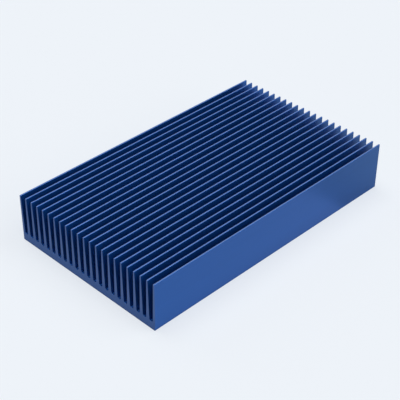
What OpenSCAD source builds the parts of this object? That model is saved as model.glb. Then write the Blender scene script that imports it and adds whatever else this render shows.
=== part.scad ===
// Extruded heat sink: a flat base plate and a comb of thin tapered fins in one piece,
// cut from a long profile and sawn square at both ends.
//
// The whole form is one cross-section. It is drawn with X across the fins and Y up from
// the underside, and then extruded along the fins.
//
// Frame: the origin is the centre of the underside, +X runs across the fins, +Y along
// them and +Z up towards the fin tips. All sizes are in millimetres.

/* [Overall] */
// Length along the fins, from one sawn end to the other
length = 150; // [20:1:600]
// Height from the underside to the fin tips
height = 25; // [12:0.5:60]

/* [Base plate] */
// Thickness of the base plate under the deepest point of a slot
base_thickness = 4; // [2:0.25:8]
// Radius along the two long lower edges
base_edge_radius = 0.4; // [0.1:0.05:1]

/* [Fins] */
// Number of fins, the two outer ones included
fin_count = 23; // [3:1:60]
// Distance from the centre of one slot to the next
fin_pitch = 4; // [3.2:0.1:8]
// Thickness of an inner fin at its tip, just below the round edges
fin_tip_thickness = 0.75; // [0.5:0.05:1.5]
// Thickness of an outer fin at its tip, just below the round edges
outer_fin_tip_thickness = 0.8; // [0.5:0.05:3]
// Radius along both edges of every fin tip
tip_radius = 0.2; // [0.05:0.01:0.24]

/* [Slots] */
// Radius of the round slot bottoms, which also sets how much the fins taper
slot_bottom_radius = 1.1; // [0.5:0.05:1.5]

/* [Hidden] */
$fn = 64;

anodised_blue = [0.18, 0.34, 0.62];
slot_count = fin_count - 1;
slot_mouth = fin_pitch - fin_tip_thickness;
width = (slot_count - 1) * fin_pitch + slot_mouth + 2 * outer_fin_tip_thickness;

// A slot is cut this far past the tips, so that it opens cleanly.
cut_margin = 1;

// A slot's right wall runs straight from wall_foot, where the round bottom ends, to
// wall_top, where the tip's round edge begins. Both are measured from the slot's middle.
bottom_centre = [0, base_thickness + slot_bottom_radius];
wall_foot = bottom_centre + [slot_bottom_radius, 0];
wall_top = [slot_mouth / 2, height - tip_radius];
tip_centre = wall_top + [tip_radius, 0];
tip_flat_edge = tip_centre + [0, tip_radius];

// Distance of slot number i from the middle of the heat sink
function slot_x(i) = (i - (slot_count - 1) / 2) * fin_pitch;

// The points of a right side, bottom to top, and then their mirror image, top to bottom
function both_sides(points) = concat(
    points,
    [for (i = [len(points) - 1 : -1 : 0]) [-points[i].x, points[i].y]]
);

// The gap between two fins, with its mouth opened out to the flats of their tips
module slot() {
    polygon(both_sides([
        wall_foot,
        wall_top,
        tip_flat_edge,
        tip_flat_edge + [0, cut_margin]
    ]));
    translate(bottom_centre) circle(r = slot_bottom_radius);
}

// The round tip edges on both sides of a slot
module slot_tip_edges() {
    for (side = [-1, 1]) {
        translate([side * tip_centre.x, tip_centre.y]) circle(r = tip_radius);
    }
}

// The bar before its slots, with its four long edges rounded
module bar() {
    half = width / 2;
    low_centre = [half - base_edge_radius, base_edge_radius];
    high_centre = [half - tip_radius, height - tip_radius];
    polygon(both_sides([
        [low_centre.x, 0],
        [half, low_centre.y],
        [half, high_centre.y],
        [high_centre.x, height]
    ]));
    for (side = [-1, 1]) {
        translate([side * low_centre.x, low_centre.y]) circle(r = base_edge_radius);
        translate([side * high_centre.x, high_centre.y]) circle(r = tip_radius);
    }
}

module cross_section() {
    difference() {
        bar();
        for (i = [0 : slot_count - 1]) {
            translate([slot_x(i), 0]) slot();
        }
    }
    for (i = [0 : slot_count - 1]) {
        translate([slot_x(i), 0]) slot_tip_edges();
    }
}

module heat_sink() {
    color(anodised_blue)
        rotate([90, 0, 0])
            linear_extrude(height = length, center = true)
                cross_section();
}

heat_sink();
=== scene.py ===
"""Looks of the extruded heat sink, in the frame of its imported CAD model.

The heat sink is one piece: the CAD section drawn out along the fins, with both sawn ends
lightly deburred. It is satin blue anodised: the drawn faces carry fine die lines along the
fins, and the sawn ends carry the arcs of the saw. It lies on a plain pale studio floor.

Lengths are in metres, +X runs across the fins, +Y along them and +Z up.
"""
import math

import bmesh
import bpy
from mathutils import Matrix, Vector


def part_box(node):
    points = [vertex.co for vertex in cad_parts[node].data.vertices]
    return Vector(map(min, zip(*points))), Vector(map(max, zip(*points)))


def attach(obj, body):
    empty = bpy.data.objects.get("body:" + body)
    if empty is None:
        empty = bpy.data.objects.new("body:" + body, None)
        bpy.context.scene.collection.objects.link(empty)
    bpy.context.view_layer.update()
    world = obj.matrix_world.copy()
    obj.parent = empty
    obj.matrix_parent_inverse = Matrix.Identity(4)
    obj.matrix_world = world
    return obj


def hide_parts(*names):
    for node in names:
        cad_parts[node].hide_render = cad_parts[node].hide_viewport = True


MM = 0.001
NODE = "heat_sink"
BODY = "root"

# The camera looks at CAMERA_AIM from the photo's angle, in degrees. Lens and sensor are in
# millimetres, as Blender takes them.
CAMERA_AZIMUTH = 44.65
CAMERA_ELEVATION = 35.726
CAMERA_ROLL = 0.396
CAMERA_DISTANCE = 537.23 * MM
CAMERA_AIM = Vector((-8.79, 5.08, 0)) * MM
CAMERA_LENS = 98.955
CAMERA_SENSOR = 36

# The sawn ends: the radius their edges are deburred to, and the steps round that edge
DEBURR_RADIUS = 0.12 * MM
DEBURR_STEPS = 3
WELD_DISTANCE = 0.0005 * MM
# A side of the outline this many times as long as the next is a flat beside an arc.
FLAT_BESIDE_ARC = 3

# Colours, as linear values
ANODISED_BLUE = (0.008, 0.089, 0.350)
# The next blue is a painted highlight on the fin tips' top faces.
TIP_HIGHLIGHT_BLUE = (0.104, 0.175, 0.400)
SAWN_BLUE = (0.050, 0.108, 0.278)
# The next blue is painted light on the sawn fin ends, over their darker base band.
SAWN_PAINTED_LIGHT_BLUE = (0.076, 0.134, 0.305)
BACKDROP = (0.855, 0.896, 0.947)
WHITE = (1.0, 1.0, 1.0)

# Noise features per metre along X, Y and Z: the die lines along the fins, and the soft tone
DIE_LINES = (2600, 6, 2600)
SOFT_TONE = (60, 9, 60)
# How far the film's colour goes below and above its own with them, as a share
FILM_RANGE = 0.15
# How deep under the fin tips the film is painted lighter: a painted highlight on the tips' top
# faces
TIP_HIGHLIGHT_DEPTH = 0.04 * MM
# Between these heights the sawn ends turn from the base's tone to a lighter tone on the fins:
# painted light up the fin ends, painted shade on the base band
PAINTED_LIGHT_FROM, PAINTED_LIGHT_TO = 4 * MM, 9 * MM
# The saw blade's radius, the middle of the blade left of and below the object's lower left
# corner as shares of that radius, and the distance between its marks
SAW_RADIUS = 160 * MM
SAW_LEFT, SAW_BELOW = 0.6, 0.7
SAW_PITCH = 0.45 * MM
# How far the sawn colour goes below and above its own with the marks, as a share
SAW_RANGE = 0.12

FLOOR_SIZE = 6.0
FLOOR_GAP = 0.02 * MM
# How much of the floor's look, to the eye and in reflections, is its even backdrop colour
BACKDROP_SHARE = 0.74
# What reflections show of the floor on the right along Y, as a share of its backdrop colour:
# a painted shade, seen only in reflections, from level with the object's far end on.
FLOOR_SHADE = [
    (0.047, (1.0, 1.0, 1.0)),
    (0.053, (0.57, 0.54, 0.49)),
    (0.100, (0.80, 0.78, 0.58)),
    (0.150, (1.0, 1.0, 1.0)),
]
# Reflections show the floor's own light and shade under the object, fading out this far beside it.
CONTACT_REACH = 1 * MM
SKY_LEVEL = 0.03

# Soft studio lamps: azimuth, elevation and width in degrees, and what each adds to a white floor
LAMPS = {
    "overhead": (270, 78, 40, 0.54),
    "back_right": (135, 50, 40, 0.24),
    "right": (90, 28, 40, 0.12),
    "left": (270, 28, 40, 0.07),
}


# ---------------------------------------------------------------- mesh

def end_outline(node):
    """The outline of the node's front end as (x, z) points, counter-clockwise from the front."""
    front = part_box(NODE)[0].y + WELD_DISTANCE
    bm = bmesh.new()
    bm.from_mesh(node.data)
    bmesh.ops.remove_doubles(bm, verts=bm.verts, dist=WELD_DISTANCE)

    def on_front(part):
        return all(v.co.y < front for v in part.verts)

    rim = [e for e in bm.edges if on_front(e) and sum(map(on_front, e.link_faces)) == 1]
    beside = {}
    for edge in rim:
        for vert in edge.verts:
            beside.setdefault(vert, []).append(edge.other_vert(vert))
    start = rim[0].verts[0]
    loop = [start, beside[start][0]]
    while True:
        following = [v for v in beside[loop[-1]] if v is not loop[-2]][0]
        if following is start:
            break
        loop.append(following)
    outline = [Vector((v.co.x, v.co.z)) for v in loop]
    bm.free()
    turned = zip(outline, outline[1:] + outline[:1])
    if sum(a.cross(b) for a, b in turned) < 0:
        outline.reverse()
    return outline


def side_normals(outline):
    """The outward normal of each side of the outline; side i runs from point i to the next."""
    normals = []
    for a, b in zip(outline, outline[1:] + outline[:1]):
        along = (b - a).normalized()
        normals.append(Vector((along.y, -along.x)))
    return normals


def inset(outline, normals, depth):
    """The outline moved inwards by depth, with its corners kept."""
    moved = []
    for i, point in enumerate(outline):
        before, after = normals[i - 1], normals[i]
        corner = (before + after).normalized()
        moved.append(point - corner * (depth / corner.dot(after)))
    return moved


def shading_normals(outline, normals):
    """The outward normal at each point: the flat's own where a flat meets an arc."""
    count = len(outline)
    lengths = [(outline[(i + 1) % count] - outline[i]).length for i in range(count)]
    shading = []
    for i in range(count):
        before, after = lengths[i - 1], lengths[i]
        if before > FLAT_BESIDE_ARC * after:
            shading.append(normals[i - 1])
        elif after > FLAT_BESIDE_ARC * before:
            shading.append(normals[i])
        else:
            shading.append((normals[i - 1] + normals[i]).normalized())
    return shading


def section_rings(length_from, length_to):
    """(y, inset, tilt) of each ring along the piece; tilt is how far its normals face the end."""
    quarter = math.pi / 2
    rings = []
    for step in range(DEBURR_STEPS + 1):
        turn = quarter * step / DEBURR_STEPS
        rings.append((DEBURR_RADIUS * (1 - math.sin(turn)),
                      DEBURR_RADIUS * (1 - math.cos(turn)),
                      turn))
    front = [(length_from + y, depth, -tilt) for y, depth, tilt in reversed(rings)]
    back = [(length_to - y, depth, tilt) for y, depth, tilt in rings]
    return front + back


def heat_sink_mesh(node):
    """The section drawn out along the fins; its drawn faces use material 0, its ends 1."""
    outline = end_outline(node)
    normals = side_normals(outline)
    shading = shading_normals(outline, normals)
    low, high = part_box(NODE)
    rings = section_rings(low.y, high.y)
    count = len(outline)

    points, point_normals = [], []
    for y, depth, tilt in rings:
        for point, normal in zip(inset(outline, normals, depth), shading):
            points.append((point.x, y, point.y))
            across = math.cos(tilt)
            point_normals.append((normal.x * across, math.sin(tilt), normal.y * across))

    faces, materials = [], []
    drawn_strip = DEBURR_STEPS
    for ring in range(len(rings) - 1):
        for i in range(count):
            j = (i + 1) % count
            base, above = ring * count, (ring + 1) * count
            faces.append((base + i, base + j, above + j, above + i))
            materials.append(0 if ring == drawn_strip else 1)
    faces.append(tuple(range(count - 1, -1, -1)))
    faces.append(tuple(range((len(rings) - 1) * count, len(rings) * count)))
    materials += [1, 1]

    mesh = bpy.data.meshes.new("heat_sink_body")
    mesh.from_pydata(points, [], faces)
    bm = bmesh.new()
    bm.from_mesh(mesh)
    bmesh.ops.recalc_face_normals(bm, faces=bm.faces)
    bm.to_mesh(mesh)
    bm.free()
    for face, index in zip(mesh.polygons, materials):
        face.material_index = index
        face.use_smooth = True
    mesh.normals_split_custom_set_from_vertices(point_normals)
    return mesh


# ---------------------------------------------------------------- materials

class Nodes:
    """Short calls that add nodes to one material or world."""

    def __init__(self, owner):
        owner.use_nodes = True
        self.tree = owner.node_tree
        self.tree.nodes.clear()

    def add(self, kind, inputs=None, **settings):
        node = self.tree.nodes.new(kind)
        for name, value in settings.items():
            setattr(node, name, value)
        for name, value in (inputs or {}).items():
            self.fill(node.inputs[name], value)
        return node

    def fill(self, socket, value):
        """Link the socket to value where that is another node's output, else set it"""
        if isinstance(value, bpy.types.NodeSocket):
            self.tree.links.new(value, socket)
        else:
            socket.default_value = value

    def calculate(self, operation, a, b=0.0):
        node = self.add("ShaderNodeMath", {0: a, 1: b}, operation=operation)
        return node.outputs["Value"]

    def remap(self, value, low, high):
        """value from 0..1 to low..high"""
        node = self.add("ShaderNodeMapRange", {"Value": value, "To Min": low, "To Max": high})
        return node.outputs["Result"]


def rgba(colour, level=1.0):
    return tuple(channel * level for channel in colour) + (1.0,)


def stretched_noise(nodes, place, scale, detail):
    """Noise from 0 to 1 with its own scale per metre along X, Y and Z"""
    mapping = nodes.add("ShaderNodeMapping", {"Vector": place, "Scale": scale})
    noise = nodes.add("ShaderNodeTexNoise",
                      {"Vector": mapping.outputs["Vector"], "Scale": 1.0, "Detail": detail})
    return noise.outputs["Fac"]


def blend_colours(nodes, share, low, high):
    """The colour low where share is 0 and high where it is 1"""
    mix = nodes.add("ShaderNodeMix", data_type="RGBA")
    for name, value in (("Factor", share), ("A", low), ("B", high)):
        nodes.fill(next(s for s in mix.inputs if s.name == name and s.enabled), value)
    return next(s for s in mix.outputs if s.enabled)


def drawn_material():
    """Satin anodised faces with the fine lines that the die leaves along the fins"""
    material = bpy.data.materials.new("anodised_drawn")
    nodes = Nodes(material)
    place = nodes.add("ShaderNodeTexCoord").outputs["Object"]
    height = nodes.add("ShaderNodeSeparateXYZ", {"Vector": place}).outputs["Z"]
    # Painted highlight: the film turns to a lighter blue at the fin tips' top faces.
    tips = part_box(NODE)[1].z
    tip_highlight = nodes.add("ShaderNodeMapRange", {
        "Value": height, "From Min": tips - TIP_HIGHLIGHT_DEPTH, "From Max": tips,
    }).outputs["Result"]
    lines = stretched_noise(nodes, place, DIE_LINES, 3.0)
    tone = stretched_noise(nodes, place, SOFT_TONE, 2.0)
    mottle = nodes.calculate("ADD", nodes.calculate("MULTIPLY", tone, 0.5),
                             nodes.calculate("MULTIPLY", lines, 0.5))
    film = blend_colours(nodes, mottle, rgba(ANODISED_BLUE, 1 - FILM_RANGE),
                         rgba(ANODISED_BLUE, 1 + FILM_RANGE))
    bump = nodes.add("ShaderNodeBump", {"Height": lines, "Strength": 0.35, "Distance": 0.02 * MM})
    shader = nodes.add("ShaderNodeBsdfPrincipled", {
        "Base Color": blend_colours(nodes, tip_highlight, film, rgba(TIP_HIGHLIGHT_BLUE)),
        "Metallic": 0.6,
        "Specular IOR Level": 0.38,
        "Roughness": nodes.remap(lines, 0.31, 0.39),
        "Normal": bump.outputs["Normal"],
    })
    nodes.add("ShaderNodeOutputMaterial", {"Surface": shader.outputs["BSDF"]})
    return material


def saw_marks(nodes, place):
    """Noise from 0 to 1 in arcs round the middle of the saw blade"""
    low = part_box(NODE)[0]
    middle = (low.x - SAW_RADIUS * SAW_LEFT, 0, low.z - SAW_RADIUS * SAW_BELOW)
    flat = nodes.add("ShaderNodeVectorMath", {0: place, 1: (1, 0, 1)}, operation="MULTIPLY")
    reach = nodes.add("ShaderNodeVectorMath", {0: flat.outputs["Vector"], 1: middle},
                      operation="DISTANCE")
    noise = nodes.add("ShaderNodeTexNoise", {
        "W": nodes.calculate("DIVIDE", reach.outputs["Value"], SAW_PITCH),
        "Scale": 1.0, "Detail": 2.0,
    }, noise_dimensions="1D")
    return noise.outputs["Fac"]


def sawn_material():
    """Anodised ends with the shallow arcs of the saw blade"""
    material = bpy.data.materials.new("anodised_sawn")
    nodes = Nodes(material)
    place = nodes.add("ShaderNodeTexCoord").outputs["Object"]
    marks = saw_marks(nodes, place)
    # Painted light and shade: the sawn ends go lighter up the fins and stay darker on the base
    # band.
    painted_light_up = nodes.add("ShaderNodeMapRange", {
        "Value": nodes.add("ShaderNodeSeparateXYZ", {"Vector": place}).outputs["Z"],
        "From Min": PAINTED_LIGHT_FROM, "From Max": PAINTED_LIGHT_TO,
    }).outputs["Result"]
    dark, light = (blend_colours(nodes, painted_light_up, rgba(SAWN_BLUE, level), rgba(SAWN_PAINTED_LIGHT_BLUE, level))
                   for level in (1 - SAW_RANGE, 1 + SAW_RANGE))
    bump = nodes.add("ShaderNodeBump", {"Height": marks, "Strength": 0.2, "Distance": 0.03 * MM})
    shader = nodes.add("ShaderNodeBsdfPrincipled", {
        "Base Color": blend_colours(nodes, marks, dark, light),
        "Metallic": 1.0,
        "Roughness": 0.6,
        "Normal": bump.outputs["Normal"],
    })
    nodes.add("ShaderNodeOutputMaterial", {"Surface": shader.outputs["BSDF"]})
    return material


# ---------------------------------------------------------------- studio

def seen(nodes):
    """1 for rays that show the surface to the eye, a gloss or a glass, 0 for those that light"""
    path = nodes.add("ShaderNodeLightPath").outputs
    camera_or_gloss = nodes.calculate("MAXIMUM", path["Is Camera Ray"], path["Is Glossy Ray"])
    return nodes.calculate("MAXIMUM", camera_or_gloss, path["Is Transmission Ray"])


def under_object(nodes, place):
    """1 on the floor under the object, falling to 0 at CONTACT_REACH beside it"""
    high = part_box(NODE)[1]
    beyond = [nodes.calculate("SUBTRACT", nodes.calculate("ABSOLUTE", place[axis]), limit)
              for axis, limit in (("X", high.x), ("Y", high.y))]
    shade = nodes.add("ShaderNodeMapRange", {
        "Value": nodes.calculate("MAXIMUM", *beyond), "From Min": 0.0, "From Max": CONTACT_REACH,
        "To Min": 1.0, "To Max": 0.0,
    })
    return shade.outputs["Result"]


def make_floor():
    material = bpy.data.materials.new("studio_floor")
    nodes = Nodes(material)
    plain = nodes.add("ShaderNodeBsdfDiffuse", {"Color": rgba(BACKDROP)})
    place = nodes.add("ShaderNodeTexCoord").outputs["Object"]
    place = nodes.add("ShaderNodeSeparateXYZ", {"Vector": place}).outputs
    # Painted shade on the floor right of the object, seen only in reflections.
    ramp = nodes.add("ShaderNodeValToRGB", {"Fac": place["Y"]})
    stops = ramp.color_ramp.elements
    while len(stops) < len(FLOOR_SHADE):
        stops.new(1.0)
    for stop, (y, levels) in zip(stops, FLOOR_SHADE):
        stop.position = y
        stop.color = rgba([colour * level for colour, level in zip(BACKDROP, levels)])
    glossy = nodes.add("ShaderNodeLightPath").outputs["Is Glossy Ray"]
    painted_shade_mask = nodes.calculate("MULTIPLY", glossy, nodes.calculate("GREATER_THAN", place["X"]))
    look = blend_colours(nodes, painted_shade_mask, rgba(BACKDROP), ramp.outputs["Color"])
    # The floor's glow: its even backdrop, with the painted shade where reflections look to the
    # right.
    even = nodes.add("ShaderNodeEmission", {"Color": look, "Strength": 1.0})
    hidden = nodes.calculate("MULTIPLY", glossy, under_object(nodes, place))
    even_look = nodes.calculate("SUBTRACT", seen(nodes), hidden)
    share = nodes.calculate("MULTIPLY", even_look, BACKDROP_SHARE)
    mix = nodes.add("ShaderNodeMixShader", {"Fac": share, 1: plain.outputs["BSDF"],
                                            2: even.outputs["Emission"]})
    nodes.add("ShaderNodeOutputMaterial", {"Surface": mix.outputs["Shader"]})

    half = FLOOR_SIZE / 2
    corners = [(-half, -half), (half, -half), (half, half), (-half, half)]
    mesh = bpy.data.meshes.new("floor")
    mesh.from_pydata([(x, y, -FLOOR_GAP) for x, y in corners], [], [(0, 1, 2, 3)])
    mesh.materials.append(material)
    floor = bpy.data.objects.new("floor", mesh)
    bpy.context.scene.collection.objects.link(floor)


def make_world():
    """A white sky that lights the object, and the backdrop's colour where the sky is seen"""
    world = bpy.data.worlds.new("studio")
    nodes = Nodes(world)
    sky = nodes.add("ShaderNodeBackground", {"Color": rgba(WHITE), "Strength": SKY_LEVEL})
    backdrop = nodes.add("ShaderNodeBackground", {"Color": rgba(BACKDROP), "Strength": 1.0})
    mix = nodes.add("ShaderNodeMixShader", {"Fac": seen(nodes), 1: sky.outputs["Background"],
                                            2: backdrop.outputs["Background"]})
    nodes.add("ShaderNodeOutputWorld", {"Surface": mix.outputs["Shader"]})
    bpy.context.scene.world = world


def direction(azimuth, elevation):
    """Towards the given angles in degrees; azimuth 0 is in front of the object, 90 to its right"""
    azimuth, elevation = math.radians(azimuth), math.radians(elevation)
    level = math.cos(elevation)
    return Vector((math.sin(azimuth) * level, -math.cos(azimuth) * level, math.sin(elevation)))


def make_lamps():
    for name, (azimuth, elevation, width, level) in LAMPS.items():
        data = bpy.data.lights.new(name, "SUN")
        data.angle = math.radians(width)
        data.energy = level * math.pi / math.sin(math.radians(elevation))
        lamp = bpy.data.objects.new(name, data)
        lamp.rotation_mode = "QUATERNION"
        lamp.rotation_quaternion = direction(azimuth, elevation).to_track_quat("Z", "Y")
        bpy.context.scene.collection.objects.link(lamp)


def camera_axes():
    """The camera's right, up and back directions"""
    back = direction(CAMERA_AZIMUTH, CAMERA_ELEVATION)
    right = direction(CAMERA_AZIMUTH + 90, 0)
    turn = Matrix.Rotation(math.radians(CAMERA_ROLL), 3, back)
    return turn @ right, turn @ back.cross(right), back


def make_camera():
    right, up, back = camera_axes()
    data = bpy.data.cameras.new("camera")
    data.sensor_width = CAMERA_SENSOR
    data.lens = CAMERA_LENS
    data.clip_start = CAMERA_DISTANCE / 10
    data.clip_end = FLOOR_SIZE * 2
    camera = bpy.data.objects.new("camera", data)
    turned = Matrix((right, up, back)).transposed().to_4x4()
    camera.matrix_world = Matrix.Translation(CAMERA_AIM + back * CAMERA_DISTANCE) @ turned
    bpy.context.scene.collection.objects.link(camera)
    bpy.context.scene.camera = camera


# ---------------------------------------------------------------- scene

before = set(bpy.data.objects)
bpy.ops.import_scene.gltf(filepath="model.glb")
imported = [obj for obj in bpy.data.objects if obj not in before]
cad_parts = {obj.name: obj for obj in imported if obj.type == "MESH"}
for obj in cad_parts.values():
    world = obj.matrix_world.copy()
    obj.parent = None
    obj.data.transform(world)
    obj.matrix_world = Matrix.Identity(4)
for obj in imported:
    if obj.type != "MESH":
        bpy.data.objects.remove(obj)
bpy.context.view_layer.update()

make_camera()
make_world()
make_lamps()
make_floor()

body = bpy.data.objects.new("heat_sink_body", heat_sink_mesh(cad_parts[NODE]))
body.data.materials.append(drawn_material())
body.data.materials.append(sawn_material())
bpy.context.scene.collection.objects.link(body)
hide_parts(NODE)
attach(body, BODY)

bpy.context.scene.view_settings.view_transform = "Standard"
